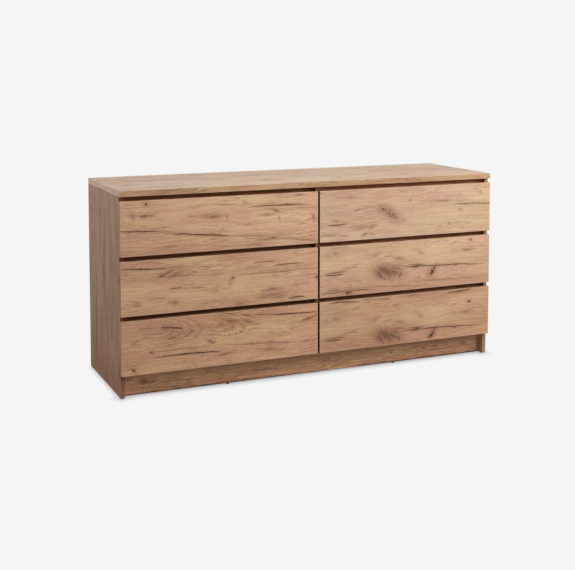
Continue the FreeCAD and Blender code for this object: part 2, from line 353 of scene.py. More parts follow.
def oak_group():
    """The printed oak: colour, roughness and relief from a place along, across and into the grain."""
    tree, given, sink = new_group(
        "oak_print",
        [("Grain", "vector"), ("Edge", "float"), ("Depth", "float"), *TOTAL_SOCKETS],
        [("Colour", "colour"), ("Roughness", "float"), ("Height", "float")])

    def drawn_out(place, along, across):
        return tree.vector("MULTIPLY", place, (along, across, across))

    def bend(place, along, across, reach):
        """Moves the grain sideways by up to about a quarter of reach."""
        push = tree.noise(drawn_out(place, along, across), detail=1.0)[0]
        shift = tree.math("MULTIPLY_ADD", push, reach, -reach / 2)
        return tree.vector("ADD", place, tree.join(0.0, shift, 0.0))

    grain = tree.vector("ADD", given["Grain"], tree.join(0.0, given["Lift"], 0.0))
    for bends in GRAIN_BENDS:
        grain = bend(grain, *bends)

    def streaks(name):
        along, across, detail, start, full = STREAKS[name]
        noise = tree.noise(drawn_out(grain, along, across), detail=detail, roughness=0.6)[0]
        return tree.fade(noise, start, full)

    def layer(colour, share, amount, other):
        return tree.mix(tree.times(share, amount), colour, other)

    def by_depth(amount):
        return tree.times(given["Depth"], amount)

    streak = streaks("streak")
    fleck = tree.times(streaks("fleck"), streaks("patch"))
    # The finest relief stays straight, so that the marks needn't be worked out three times over for it.
    fibre = tree.noise(drawn_out(given["Grain"], *FIBRES), detail=2.0, roughness=0.6)[0]
    pore = tree.fade(tree.noise(drawn_out(given["Grain"], *PORES), detail=1.0)[0], *PORE_RIM)

    coarse_warmth = tree.times(streaks("warmth"), 1.0 - FINE_WARMTH)
    hue = tree.math("MULTIPLY_ADD", streaks("fine_warmth"), FINE_WARMTH, coarse_warmth)
    colour = tree.mix(hue, OAK_YELLOW, OAK_PINK)
    colour = layer(colour, streaks("band"), BAND_SHARE, OAK_DARK)
    yellower = tree.math("MAXIMUM", tree.times(given["Tone"], -1.0), 0.0)
    colour = tree.mix(tree.math("MAXIMUM", given["Tone"], 0.0), colour, OAK_RUSSET)
    colour = tree.mix(yellower, colour, OAK_YELLOW)
    colour = layer(colour, streaks("grey"), GREY_SHARE, OAK_GREY)
    colour = layer(colour, streak, by_depth(STREAK_SHARE), OAK_DARK)
    colour = layer(colour, streaks("gleam"), by_depth(GLEAM_SHARE), OAK_LIGHT)
    colour = layer(colour, fleck, by_depth(FLECK_SHARE), FLECK_BROWN)
    colour = layer(colour, streaks("ray"), RAY_SHARE, OAK_DARK)
    colour = tree.mix(given["Tint"], colour, HALO_BROWN)
    uneven = tree.math("MULTIPLY_ADD", streak, 0.30, 0.95)
    grained = tree.times(given["Shade"], uneven, clamp=True)
    # Knot and crack cores take this brown, and so does the painted shade that comes in through Shade.
    colour = tree.mix(grained, colour, KNOT_AND_SHADE_BROWN)
    fine = tree.math("MULTIPLY_ADD", fibre, FIBRE_CONTRAST, 1.0 - FIBRE_CONTRAST / 2)
    fine = tree.times(fine, tree.math("MULTIPLY_ADD", pore, -PORE_CONTRAST, 1.0))
    colour = tree.vector("MULTIPLY", colour, tree.join(fine, fine, fine))
    unshaded = tree.math("SUBTRACT", 1.0, grained)
    # Paler along the edges: wear and a painted highlight.
    colour = layer(colour, tree.times(given["Edge"], unshaded), EDGE_WEAR_AND_HIGHLIGHT_SHARE, EDGE_WEAR_AND_HIGHLIGHT)
    tree.feed(sink.inputs["Colour"], colour)

    roughness = tree.math("MULTIPLY_ADD", fibre, FIBRE_ROUGHNESS, ROUGHNESS)
    roughness = tree.math("MULTIPLY_ADD", pore, PORE_ROUGHNESS, roughness)
    roughness = tree.math("MULTIPLY_ADD", given["Edge"], EDGE_ROUGHNESS, roughness)
    tree.feed(sink.inputs["Roughness"], roughness)
    tree.feed(sink.inputs["Height"], tree.math("MULTIPLY_ADD", pore, -1.0, tree.times(fibre, 0.5)))
    return tree.tree


GROUPS = {"knot": knot_group(), "crack": crack_group(), "stain": stain_group(), "arcs": arcs_group()}
BOARD_EDGE = edge_group()
OAK_PRINT = oak_group()


def knot(along, across, half_along, half_across, tilt=0.0, dark=0.8, halo=0.4, rings=0.0):
    return "knot", dict(At=(along, across, 0.0), Half=(half_along, half_across, 1.0),
                        Tilt=math.radians(tilt), Dark=dark, Halo=halo, Rings=rings)


def crack(along, across, to_along, to_across, width=0.003, bow=0.0, dark=0.8):
    return "crack", dict(Start=(along, across, 0.0), End=(to_along, to_across, 0.0), Width=width, Bow=bow,
                         Dark=dark)


def stain(along, across, half_along, half_across, amount, tilt=0.0):
    return "stain", dict(At=(along, across, 0.0), Half=(half_along, half_across, 1.0),
                         Tilt=math.radians(tilt), Amount=amount)


def arcs(along, across, half_along, half_across, lines, tilt=0.0, dark=0.5):
    return "arcs", dict(At=(along, across, 0.0), Half=(half_along, half_across, 1.0),
                        Tilt=math.radians(tilt), Lines=lines, Dark=dark)


def swizzle(tree, parts, order):
    return tree.join(*(parts[AXES.index(axis)] for axis in order))


# A normal's share along an axis from which its face counts as facing that way.
FACES_AXIS = 0.7
WANDER_SCALE = (14.0, 50.0, 1.0)
WANDER_REACH = (0.03, 0.010, 0.0)
ROUGH_SCALE = (110.0, 190.0, 1.0)
# The width of the paler edges, wear and painted highlight.
WORN_AND_LIT_EDGE = 0.003
# How far from the low end the painted shade at the foot reaches.
PAINTED_FOOT_REACH = 0.22


def oak(name, order, end_order, marks=(), print_at=(0.0, 0.0), tone=0.0, dye=(1.0, 1.0, 1.0), depth=1.0,
        painted_end_shades=(0.0, 0.0), rim_dye=None, low_end_dye=None, foot_dye=None):
    """A board's own oak. order names the axes along, across and into the grain, and end_order those on the
    faces that the grain meets end on, whose band is laid lengthways. marks are on the board's widest face,
    from its low corner. print_at is where on the print the board was cut, tone how red it is,
    dye what its colour is multiplied by, which paints shade on some boards and sheen on others,
    and depth how strong the streaks are. painted_end_shades paint shade on the two faces that the grain
    meets end on, low one first. rim_dye stands in for dye on the narrow faces that the
    grain runs along and paints shade there, low_end_dye stands in for it on the low end face and
    paints shade there where it darkens and a highlight where it lightens, and foot_dye stands in
    for it on the widest faces towards the low end and paints shade towards the floor."""
    low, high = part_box(name)
    material, tree, shader = new_material(f"oak_{name}")
    coordinates = tree.add("ShaderNodeTexCoord").outputs
    parts = tree.split(tree.vector("SUBTRACT", coordinates["Object"], tuple(low)))
    facing = tree.split(tree.vector("ABSOLUTE", coordinates["Normal"]))
    end_on = tree.math("GREATER_THAN", facing[AXES.index(order[0])], FACES_AXIS)
    rim_on = tree.math("GREATER_THAN", facing[AXES.index(order[1])], FACES_AXIS)
    face_on = tree.math("GREATER_THAN", facing[AXES.index(order[2])], FACES_AXIS)
    place = swizzle(tree, parts, order)
    flat = tree.vector("MULTIPLY", place, (1.0, 1.0, 0.0))

    wander = tree.noise(tree.vector("MULTIPLY", flat, WANDER_SCALE), detail=3.0)
    drift = tree.vector("SUBTRACT", wander["Color"], (0.5, 0.5, 0.5))
    marked = tree.vector("ADD", flat, tree.vector("MULTIPLY", drift, WANDER_REACH))
    rough = tree.noise(tree.vector("MULTIPLY", flat, ROUGH_SCALE), detail=3.0, roughness=0.65)[0]
    totals = dict.fromkeys(MARK_TOTALS, 0.0)
    for kind, sizes in marks:
        made = tree.group(GROUPS[kind], Place=marked, Rough=rough, **sizes, **totals)
        totals = {label: made[label] for label in MARK_TOTALS}
    if marks:
        totals = {label: tree.times(total, face_on) for label, total in totals.items()}
    totals["Tone"] = tree.math("ADD", totals["Tone"], tone)
    length = (high - low)[AXES.index(order[0])]
    along = tree.split(place)[0]
    far_end = tree.fade(along, length * 0.4, length * 0.6)
    # Painted shade on the end faces, where the two columns of fronts meet across their gap.
    painted_end_shade = tree.fade(far_end, 0.0, 1.0, *painted_end_shades)
    totals["Shade"] = tree.math("MULTIPLY_ADD", end_on, painted_end_shade, totals["Shade"])

    laid = tree.mix(end_on, place, swizzle(tree, parts, end_order))
    grain = tree.vector("ADD", laid, (*print_at, 0.0))
    near = tree.group(BOARD_EDGE, Place=coordinates["Object"], Centre=tuple((low + high) / 2),
                      Half=tuple((high - low) / 2), Width=WORN_AND_LIT_EDGE)["Edge"]
    made = tree.group(OAK_PRINT, Grain=grain, Edge=near, Depth=depth, **totals)
    # Painted light: the colour multiplier paints shade on some boards and sheen on others; the foot, the
    # narrow
    # faces and the low end face take their own painted shade, except the top's low end, a painted highlight.
    dyed = tree.mix(tree.fade(along, PAINTED_FOOT_REACH, 0.0), (*dye, 1.0), (*(foot_dye or dye), 1.0))
    dyed = tree.mix(rim_on, dyed, (*(rim_dye or dye), 1.0))
    low_end = tree.times(end_on, tree.math("SUBTRACT", 1.0, far_end))
    dyed = tree.mix(low_end, dyed, (*(low_end_dye or dye), 1.0))
    tree.feed(shader["Base Color"], tree.vector("MULTIPLY", made["Colour"], dyed))
    tree.feed(shader["Roughness"], made["Roughness"])
    tree.feed(shader["Normal"], bump(tree, made["Height"], 0.0002, 0.6))
    wear(material, [name])


# One print, cut twice: the bottom right front is cut STAR_SHIFT higher on it than the middle right one.
STAR_PRINT = [
    stain(0.300, 0.082, 0.070, 0.036, 0.55),
    stain(0.360, 0.112, 0.060, 0.022, 0.45),
    stain(0.180, 0.050, 0.240, 0.050, 0.16),
    stain(0.540, 0.150, 0.260, 0.040, -0.30),
    knot(0.283, 0.093, 0.026, 0.014, -10, 0.46, 0.58),
    knot(0.300, 0.084, 0.028, 0.014, -35, 0.50, 0.58),
    knot(0.332, 0.080, 0.032, 0.011, -25, 0.46, 0.52),
    knot(0.268, 0.078, 0.014, 0.012, 40, 0.42, 0.50),
    knot(0.276, 0.066, 0.010, 0.009, -50, 0.50, 0.45),
    knot(0.318, 0.064, 0.010, 0.007, 60, 0.45, 0.45),
    knot(0.288, 0.056, 0.006, 0.006, 0, 0.50, 0.35),
    knot(0.363, 0.064, 0.005, 0.013, -8, 0.60, 0.40),
    knot(0.350, 0.092, 0.022, 0.005, -20, 0.36, 0.45),
    knot(0.444, 0.096, 0.020, 0.006, 5, 0.70, 0.50),
    crack(0.395, 0.104, 0.485, 0.100, 0.0035, 0.002, 0.55),
    crack(0.330, 0.108, 0.400, 0.100, 0.0035, 0.002, 0.35),
    knot(0.513, 0.065, 0.010, 0.014, -25, 1.00, 0.60),
    knot(0.527, 0.082, 0.005, 0.013, -30, 0.70, 0.40),
    crack(0.375, 0.096, 0.755, 0.083, 0.0034, 0.003, 0.90),
    knot(0.628, 0.086, 0.009, 0.004, 0, 0.45, 0.35),
    crack(0.022, 0.088, 0.104, 0.089, 0.0045, 0.0, 0.75),
    crack(0.018, 0.095, 0.120, 0.098, 0.0045, 0.001, 0.45),
    crack(0.080, 0.100, 0.170, 0.116, 0.006, 0.002, 0.25),
    knot(0.698, 0.189, 0.007, 0.005, 0, 0.75, 0.35),
    knot(0.688, 0.147, 0.016, 0.005, 0, 0.36, 0.36),
    knot(0.360, 0.134, 0.018, 0.004, 0, 0.40, 0.40),
    knot(0.070, 0.174, 0.006, 0.003, 0, 0.36, 0.25),
    knot(0.248, 0.152, 0.014, 0.006, 30, 0.12, 0.24, 0.6),
    knot(0.455, 0.154, 0.012, 0.006, -30, 0.12, 0.22, 0.5),
    crack(0.290, 0.142, 0.330, 0.147, 0.0032, 0.002, 0.40),
]
STAR_SHIFT = 0.042
LOW_SMEARS = [
    stain(0.400, 0.010, 0.600, 0.034, 0.45),
    stain(0.740, 0.060, 0.180, 0.060, 0.22),
    knot(0.125, 0.011, 0.012, 0.008, 0, 0.95, 0.60),
    crack(0.0, 0.014, 0.240, 0.016, 0.006, 0.004, 0.42),
    crack(0.030, 0.026, 0.085, 0.028, 0.0045, 0.0, 0.50),
    crack(0.140, 0.028, 0.480, 0.014, 0.0035, 0.001, 0.35),
    crack(0.420, 0.034, 0.800, 0.024, 0.0035, 0.001, 0.30),
    knot(0.485, 0.033, 0.006, 0.003, 0, 0.25, 0.35),
]
TOP_SMEARS = [
    crack(0.590, 0.193, 0.710, 0.201, 0.005, 0.0, 0.75),
    crack(0.040, 0.196, 0.180, 0.192, 0.005, 0.004, 0.60),
    crack(0.180, 0.198, 0.330, 0.190, 0.004, 0.002, 0.35),
    knot(0.420, 0.198, 0.020, 0.004, 0, 0.45, 0.45),
    knot(0.300, 0.196, 0.014, 0.004, 20, 0.25, 0.40),
    stain(0.200, 0.020, 0.300, 0.060, 0.30),
    stain(0.600, 0.196, 0.260, 0.018, 0.35),
    stain(0.720, 0.050, 0.200, 0.090, 0.22),
]


def shifted(marks, down):
    """The same marks, lower on the board."""
    moved = []
    for kind, sizes in marks:
        lower = {label: (size[0], size[1] - down, 0.0) for label, size in sizes.items()
                 if label in ("At", "Start", "End")}
        moved.append((kind, {**sizes, **lower}))
    return moved


FRONT_MARKS = {
    "top_left": [
        stain(0.100, 0.060, 0.260, 0.110, 0.26),
        stain(0.250, 0.008, 0.420, 0.034, 0.50),
        stain(0.560, 0.020, 0.120, 0.022, 0.30),
        stain(0.640, 0.185, 0.300, 0.040, -0.40),
        stain(0.345, 0.133, 0.060, 0.012, 0.40),
        knot(0.099, 0.191, 0.006, 0.005, 0, 0.80, 0.45),
        knot(0.090, 0.147, 0.012, 0.005, 8, 0.50, 0.50),
        knot(0.112, 0.150, 0.018, 0.004, 8, 0.28, 0.45),
        knot(0.045, 0.150, 0.008, 0.010, 30, 0.18, 0.35),
        crack(-0.030, 0.095, 0.158, 0.085, 0.0034, 0.003, 0.80),
        crack(0.018, 0.082, 0.044, 0.092, 0.003, 0.0, 0.40),
        crack(0.150, 0.086, 0.260, 0.074, 0.003, -0.003, 0.30),
        crack(0.195, 0.074, 0.430, 0.053, 0.004, 0.001, 0.85),
        crack(0.410, 0.054, 0.610, 0.036, 0.003, 0.004, 0.35),
        crack(0.620, 0.030, 0.810, 0.008, 0.0034, 0.002, 0.45),
        knot(0.608, 0.035, 0.014, 0.004, 0, 0.55, 0.50),
        crack(0.530, 0.030, 0.600, 0.030, 0.0034, 0.0, 0.35),
        crack(0.500, 0.016, 0.560, 0.010, 0.003, 0.001, 0.35),
        crack(0.500, 0.158, 0.765, 0.156, 0.003, 0.005, 0.80),
        crack(0.250, 0.172, 0.520, 0.168, 0.0024, 0.004, 0.28),
        crack(0.690, 0.144, 0.800, 0.140, 0.003, 0.0, 0.25),
        knot(0.613, 0.141, 0.010, 0.004, -15, 0.80, 0.50),
        knot(0.772, 0.108, 0.004, 0.009, 15, 0.75, 0.45),
        crack(0.766, 0.100, 0.815, 0.092, 0.0028, 0.0, 0.35),
        knot(0.360, 0.130, 0.022, 0.005, 0, 0.24, 0.55),
        knot(0.330, 0.134, 0.008, 0.005, 0, 0.18, 0.45),
        knot(0.575, 0.126, 0.014, 0.004, 0, 0.24, 0.45),
        knot(0.415, 0.128, 0.004, 0.006, 0, 0.22, 0.30),
        knot(0.272, 0.136, 0.007, 0.003, 0, 0.22, 0.35),
        knot(0.632, 0.104, 0.003, 0.010, 0, 0.16, 0.30),
        knot(0.712, 0.197, 0.014, 0.003, 0, 0.50, 0.35),
        crack(0.170, 0.028, 0.220, 0.028, 0.004, 0.0, 0.35),
    ],
    "middle_left": [
        stain(0.080, 0.196, 0.090, 0.020, 0.50),
        stain(0.205, 0.150, 0.090, 0.030, 0.45),
        stain(0.440, 0.196, 0.140, 0.018, 0.45),
        stain(0.600, 0.095, 0.240, 0.034, -0.40),
        stain(0.100, 0.090, 0.160, 0.050, -0.20),
        stain(0.600, 0.026, 0.080, 0.020, 0.40),
        crack(-0.040, 0.180, 0.178, 0.169, 0.0042, -0.001, 0.75),
        crack(0.120, 0.170, 0.330, 0.166, 0.0026, 0.004, 0.30),
        knot(0.155, 0.143, 0.012, 0.005, 12, 0.62, 0.55),
        knot(0.176, 0.152, 0.018, 0.003, 25, 0.45, 0.50),
        knot(0.215, 0.146, 0.014, 0.005, 20, 0.30, 0.45),
        crack(0.160, 0.136, 0.280, 0.132, 0.0035, 0.004, 0.35),
        knot(0.172, 0.147, 0.022, 0.003, 28, 0.45, 0.50),
        knot(0.205, 0.142, 0.024, 0.003, 22, 0.40, 0.45),
        knot(0.262, 0.142, 0.020, 0.002, 15, 0.25, 0.30),
        crack(0.185, 0.091, 0.242, 0.091, 0.0028, 0.001, 0.70),
        crack(0.270, 0.088, 0.332, 0.085, 0.0024, 0.001, 0.60),
        knot(0.434, 0.112, 0.006, 0.005, 20, 0.65, 0.45),
        knot(0.428, 0.094, 0.006, 0.008, 0, 0.15, 0.30),
        crack(0.515, 0.163, 0.615, 0.165, 0.0032, 0.001, 0.60),
        crack(0.600, 0.146, 0.738, 0.147, 0.0036, 0.003, 0.75),
        crack(0.430, 0.124, 0.800, 0.130, 0.0036, -0.006, 0.32),
        knot(0.600, 0.056, 0.020, 0.004, 0, 0.26, 0.50, 0.5),
        crack(0.545, 0.054, 0.600, 0.048, 0.0026, 0.0, 0.40),
        knot(0.600, 0.033, 0.030, 0.004, 5, 0.34, 0.55),
        knot(0.635, 0.024, 0.016, 0.004, 12, 0.24, 0.45),
        crack(0.665, 0.012, 0.742, 0.015, 0.0045, 0.001, 0.80),
        knot(0.702, 0.062, 0.010, 0.003, 0, 0.24, 0.30),
        knot(0.205, 0.036, 0.010, 0.007, 0, 0.30, 0.40),
        crack(0.080, 0.052, 0.200, 0.056, 0.0028, 0.005, 0.32),
        knot(0.795, 0.087, 0.006, 0.006, 0, 0.65, 0.35),
        knot(0.054, 0.044, 0.010, 0.003, 0, 0.20, 0.30),
        knot(0.460, 0.008, 0.020, 0.010, 0, 0.10, 0.40),
    ],
    "bottom_left": [
        stain(0.190, 0.165, 0.260, 0.046, 0.34),
        stain(0.450, 0.170, 0.110, 0.030, 0.40),
        stain(0.640, 0.110, 0.200, 0.034, -0.25),
        stain(0.600, 0.196, 0.120, 0.016, 0.40),
        arcs(0.120, 0.160, 0.220, 0.070, 6.0, -4, 0.62),
        arcs(0.340, 0.168, 0.180, 0.052, 4.0, -14, 0.62),
        crack(0.150, 0.170, 0.238, 0.157, 0.006, 0.002, 0.85),
        crack(0.060, 0.172, 0.170, 0.166, 0.003, 0.003, 0.35),
        knot(0.342, 0.098, 0.010, 0.004, -22, 0.70, 0.50),
        knot(0.352, 0.092, 0.008, 0.004, 0, 0.50, 0.40),
        knot(0.324, 0.084, 0.004, 0.003, 0, 0.35, 0.35),
        knot(0.341, 0.080, 0.003, 0.003, 0, 0.35, 0.25),
        crack(0.125, 0.057, 0.392, 0.052, 0.004, 0.006, 0.90),
        crack(0.080, 0.080, 0.400, 0.078, 0.0022, 0.002, 0.30),
        crack(0.375, 0.079, 0.780, 0.056, 0.0028, -0.002, 0.42),
        crack(0.525, 0.185, 0.800, 0.172, 0.0038, -0.004, 0.75),
        crack(0.385, 0.203, 0.455, 0.192, 0.0036, 0.0, 0.60),
        crack(0.470, 0.192, 0.520, 0.176, 0.0036, 0.0, 0.50),
        knot(0.435, 0.167, 0.022, 0.004, -10, 0.40, 0.50),
        knot(0.500, 0.160, 0.018, 0.004, -20, 0.38, 0.45),
        knot(0.198, 0.125, 0.018, 0.003, 0, 0.40, 0.40),
        knot(0.116, 0.080, 0.007, 0.004, 0, 0.65, 0.45),
        knot(0.046, 0.018, 0.005, 0.010, 30, 0.70, 0.45),
        knot(0.750, 0.145, 0.016, 0.004, 15, 0.55, 0.55),
        knot(0.775, 0.153, 0.014, 0.003, 25, 0.40, 0.45),
        knot(0.590, 0.040, 0.024, 0.005, 0, 0.34, 0.50),
        knot(0.405, 0.044, 0.024, 0.004, 8, 0.32, 0.40),
        knot(0.508, 0.071, 0.008, 0.003, 0, 0.35, 0.35),
        knot(0.745, 0.058, 0.018, 0.003, 0, 0.30, 0.35),
        crack(0.500, 0.125, 0.560, 0.128, 0.0028, 0.001, 0.35),
    ],
    "top_right": [
        stain(0.300, 0.176, 0.360, 0.034, 0.34),
        stain(0.600, 0.070, 0.300, 0.060, -0.35),
        stain(0.700, 0.190, 0.200, 0.020, -0.20),
        stain(0.200, 0.050, 0.080, 0.024, 0.30),
        knot(0.284, 0.118, 0.010, 0.005, -10, 0.75, 0.45),
        knot(0.302, 0.110, 0.012, 0.004, -60, 0.40, 0.40),
        knot(0.312, 0.096, 0.020, 0.004, -40, 0.38, 0.45),
        knot(0.318, 0.099, 0.030, 0.011, -32, 0.22, 0.45, 0.9),
        knot(0.340, 0.083, 0.010, 0.005, -10, 0.50, 0.40),
        crack(0.035, 0.066, 0.125, 0.070, 0.0038, -0.001, 0.70),
        knot(0.068, 0.083, 0.012, 0.003, 0, 0.40, 0.35),
        crack(0.145, 0.121, 0.186, 0.127, 0.0028, 0.0, 0.50),
        crack(0.140, 0.112, 0.280, 0.134, 0.0026, 0.006, 0.25),
        knot(0.411, 0.148, 0.005, 0.003, 0, 0.50, 0.30),
        crack(0.530, 0.141, 0.588, 0.138, 0.0032, 0.0, 0.55),
        crack(0.330, 0.144, 0.700, 0.132, 0.003, 0.004, 0.14),
        crack(0.612, 0.122, 0.850, 0.112, 0.003, 0.003, 0.75),
        knot(0.750, 0.167, 0.007, 0.004, 0, 0.50, 0.35),
        knot(0.650, 0.099, 0.008, 0.004, 0, 0.42, 0.35),
        knot(0.594, 0.043, 0.006, 0.003, 0, 0.50, 0.30),
        knot(0.660, 0.021, 0.014, 0.002, 0, 0.40, 0.30),
        knot(0.185, 0.050, 0.024, 0.006, 0, 0.10, 0.26, 0.8),
        knot(0.235, 0.052, 0.012, 0.006, 20, 0.14, 0.40, 0.6),
        knot(0.200, 0.022, 0.010, 0.004, 20, 0.42, 0.40),
        knot(0.230, 0.022, 0.008, 0.003, -20, 0.26, 0.35),
        knot(0.040, 0.028, 0.030, 0.004, 0, 0.24, 0.40),
        knot(0.105, 0.020, 0.014, 0.003, 0, 0.28, 0.35),
        crack(0.070, 0.174, 0.200, 0.168, 0.0026, 0.002, 0.28),
    ],
    "middle_right": STAR_PRINT + LOW_SMEARS,
    "bottom_right": shifted(STAR_PRINT, STAR_SHIFT) + TOP_SMEARS,
}
# The bluer colour multipliers of the top and middle right fronts paint a paler sheen on them, from the light
# on the right.
FRONT_LOOKS = {
    "top_left": dict(print_at=(0.3, 0.0), dye=(0.99, 1.00, 1.04)),
    "middle_left": dict(print_at=(3.1, 0.7), dye=(0.97, 0.96, 0.97), tone=0.05),
    "bottom_left": dict(print_at=(6.7, 1.9), dye=(0.98, 0.95, 0.92), tone=0.10),
    "top_right": dict(print_at=(9.2, 2.6), dye=(0.97, 1.03, 1.14), tone=-0.10, depth=0.75),
    "middle_right": dict(print_at=(12.4, 3.3), dye=(1.01, 1.05, 1.12), depth=0.80),
    "bottom_right": dict(print_at=(12.4, 3.3 + STAR_SHIFT), dye=(0.97, 0.98, 0.99), tone=0.22, depth=0.80),
}
# Painted shade on the fronts' top and bottom faces, which sit in the shaded gaps between the drawers.
FRONT_PAINTED_RIM_SHADES = {"top": (0.70, 0.66, 0.60), "middle": (0.42, 0.38, 0.32), "bottom": (0.42, 0.38, 0.32)}
# Painted shade on the left fronts' outer end faces.
FRONT_PAINTED_END_SHADES = {"left": (0.92, 0.82, 0.68), "right": None}
# Painted shade on the ends that face each other across the gap between the columns, as they hardly catch any
# light.
MEETING_PAINTED_SHADES = {"left": (0.0, 0.85), "right": (0.85, 0.0)}

for drawer in DRAWERS:
    row, column = drawer.split("_")
    oak(f"{drawer}_front", "XZY", "ZYX", FRONT_MARKS[drawer], painted_end_shades=MEETING_PAINTED_SHADES[column],
        rim_dye=FRONT_PAINTED_RIM_SHADES[row], low_end_dye=FRONT_PAINTED_END_SHADES[column], **FRONT_LOOKS[drawer])

# The top's bluer colour multiplier paints the pale sheen that it shows, its rim multiplier paints shade on
# its
# front edge, and its low end multiplier paints a highlight on its left end.
oak("top_panel", "XYZ", "YZX", [
    stain(0.250, 0.300, 0.180, 0.040, 0.45),
    stain(0.150, 0.160, 0.240, 0.024, -0.45),
    stain(0.600, 0.180, 0.120, 0.030, 0.40),
    stain(1.300, 0.260, 0.200, 0.030, 0.50),
    stain(0.900, 0.120, 0.260, 0.030, -0.45),
    stain(0.750, 0.330, 0.300, 0.024, 0.35),
    stain(1.200, 0.420, 0.300, 0.030, 0.32),
    crack(0.080, 0.310, 0.420, 0.290, 0.005, 0.004, 0.35),
    crack(1.120, 0.270, 1.380, 0.262, 0.005, 0.003, 0.40),
    crack(0.520, 0.120, 0.760, 0.130, 0.005, 0.003, 0.30),
    crack(0.700, 0.400, 1.000, 0.390, 0.005, 0.003, 0.30),
    knot(0.640, 0.150, 0.016, 0.008, 10, 0.50, 0.45),
    knot(0.950, 0.135, 0.014, 0.006, -10, 0.40, 0.40),
    knot(1.260, 0.300, 0.020, 0.008, 0, 0.45, 0.45),
    knot(0.190, 0.280, 0.012, 0.006, 0, 0.40, 0.40),
], print_at=(15.0, 5.0), tone=-0.05, dye=(0.87, 0.97, 1.07), depth=1.3, rim_dye=(0.77, 0.76, 0.69),
    low_end_dye=(1.44, 1.60, 1.75))

SIDE_MARKS = [
    stain(0.180, 0.370, 0.300, 0.022, 1.00),
    stain(0.150, 0.290, 0.160, 0.020, 0.90),
    stain(0.420, 0.228, 0.200, 0.014, 0.80),
    stain(0.330, 0.120, 0.260, 0.016, 0.80),
    stain(0.450, 0.045, 0.400, 0.020, 0.50),
    # Painted shade: darker and redder across the foot of each side.
    stain(0.020, 0.250, 0.100, 0.400, 0.70),
    stain(0.300, 0.420, 0.400, 0.016, 0.75),
    stain(0.250, 0.180, 0.300, 0.014, 0.45),
    stain(0.560, 0.180, 0.260, 0.020, -0.70),
    stain(0.480, 0.335, 0.300, 0.016, -0.65),
    knot(0.430, 0.238, 0.022, 0.007, 0, 0.50, 0.60),
    knot(0.440, 0.010, 0.014, 0.007, 0, 0.55, 0.55),
    knot(0.100, 0.012, 0.012, 0.007, 0, 0.55, 0.55),
    crack(0.250, 0.226, 0.640, 0.222, 0.0045, 0.004, 0.40),
    crack(0.100, 0.300, 0.280, 0.272, 0.007, 0.004, 0.60),
    crack(0.020, 0.378, 0.330, 0.366, 0.007, 0.003, 0.65),
    crack(0.300, 0.150, 0.520, 0.128, 0.0045, 0.002, 0.30),
    crack(0.480, 0.300, 0.740, 0.290, 0.0045, 0.002, 0.28),
]
# The left side's darker, redder colour multiplier is painted shade, as it faces away from the light, and its
# foot multiplier darkens it further towards the floor; both sides' rims take painted shade on their front
# edges.
SIDE_LOOKS = {
    "left": dict(dye=(0.90, 0.79, 0.60), depth=1.7, rim_dye=(0.50, 0.40, 0.28), foot_dye=(0.86, 0.66, 0.38)),
    "right": dict(dye=(0.97, 0.93, 0.90), depth=1.1, rim_dye=(0.70, 0.76, 0.76)),
}
for count, side in enumerate(SIDES):
    oak(f"side_panel_{side}", "ZYX", "YXZ", SIDE_MARKS, print_at=(18.0 + count, 7.0), tone=0.25,
        **SIDE_LOOKS[side])

# Its front edge shows only deep in the gaps between the fronts: its dark, red multiplier and tone paint shade
# and bounced light.
oak("centre_panel", "ZYX", "YXZ", print_at=(21.0, 8.0), tone=1.0, dye=(0.62, 0.48, 0.34))
oak("bottom_panel", "XYZ", "YZX", print_at=(23.0, 9.0))
# The last four marks paint a darker, redder shadow line along its foot against the floor; its brighter
# multiplier is painted light.
oak("plinth", "XZY", "ZYX", [
    knot(0.086, 0.046, 0.014, 0.008, 0, 0.45, 0.45),
    knot(1.138, 0.042, 0.006, 0.005, 0, 0.60, 0.40),
    knot(1.490, 0.046, 0.012, 0.008, 0, 0.45, 0.45),
    crack(0.510, 0.040, 0.640, 0.032, 0.003, 0.0, 0.40),
    crack(0.020, 0.026, 0.250, 0.014, 0.003, 0.0, 0.35),
    crack(1.240, 0.030, 1.540, 0.034, 0.003, 0.0, 0.35),
    crack(-0.300, 0.0, 0.900, 0.001, 0.009, 0.0, 0.75),
    crack(0.900, 0.001, 2.000, 0.0, 0.010, 0.0, 0.80),
    stain(0.100, 0.0, 0.500, 0.022, 0.50),
    stain(1.300, 0.0, 0.600, 0.022, 0.50),
], print_at=(25.0, 11.0), tone=0.40, dye=(1.11, 1.05, 0.94), depth=1.5)
oak("base_brace", "XZY", "ZYX", print_at=(28.0, 12.0))

# The rails show only in the gaps between the fronts: the left ones darkened as painted shade, the right ones
# brightened as painted light.
RAIL_PAINTED_LIGHT = {"left": (1.10, 0.83, 0.52), "right": (1.60, 1.34, 0.98)}
for count, place in enumerate(("top", "upper", "lower")):
    for side in SIDES:
        oak(f"{place}_rail_{side}", "XZY", "ZYX", print_at=(30.0 + count, 14.0), tone=1.0,
            dye=RAIL_PAINTED_LIGHT[side])


# -------------------- other finishes

LINEN_THREADS = 2400.0
LINEN_RUN = 60.0


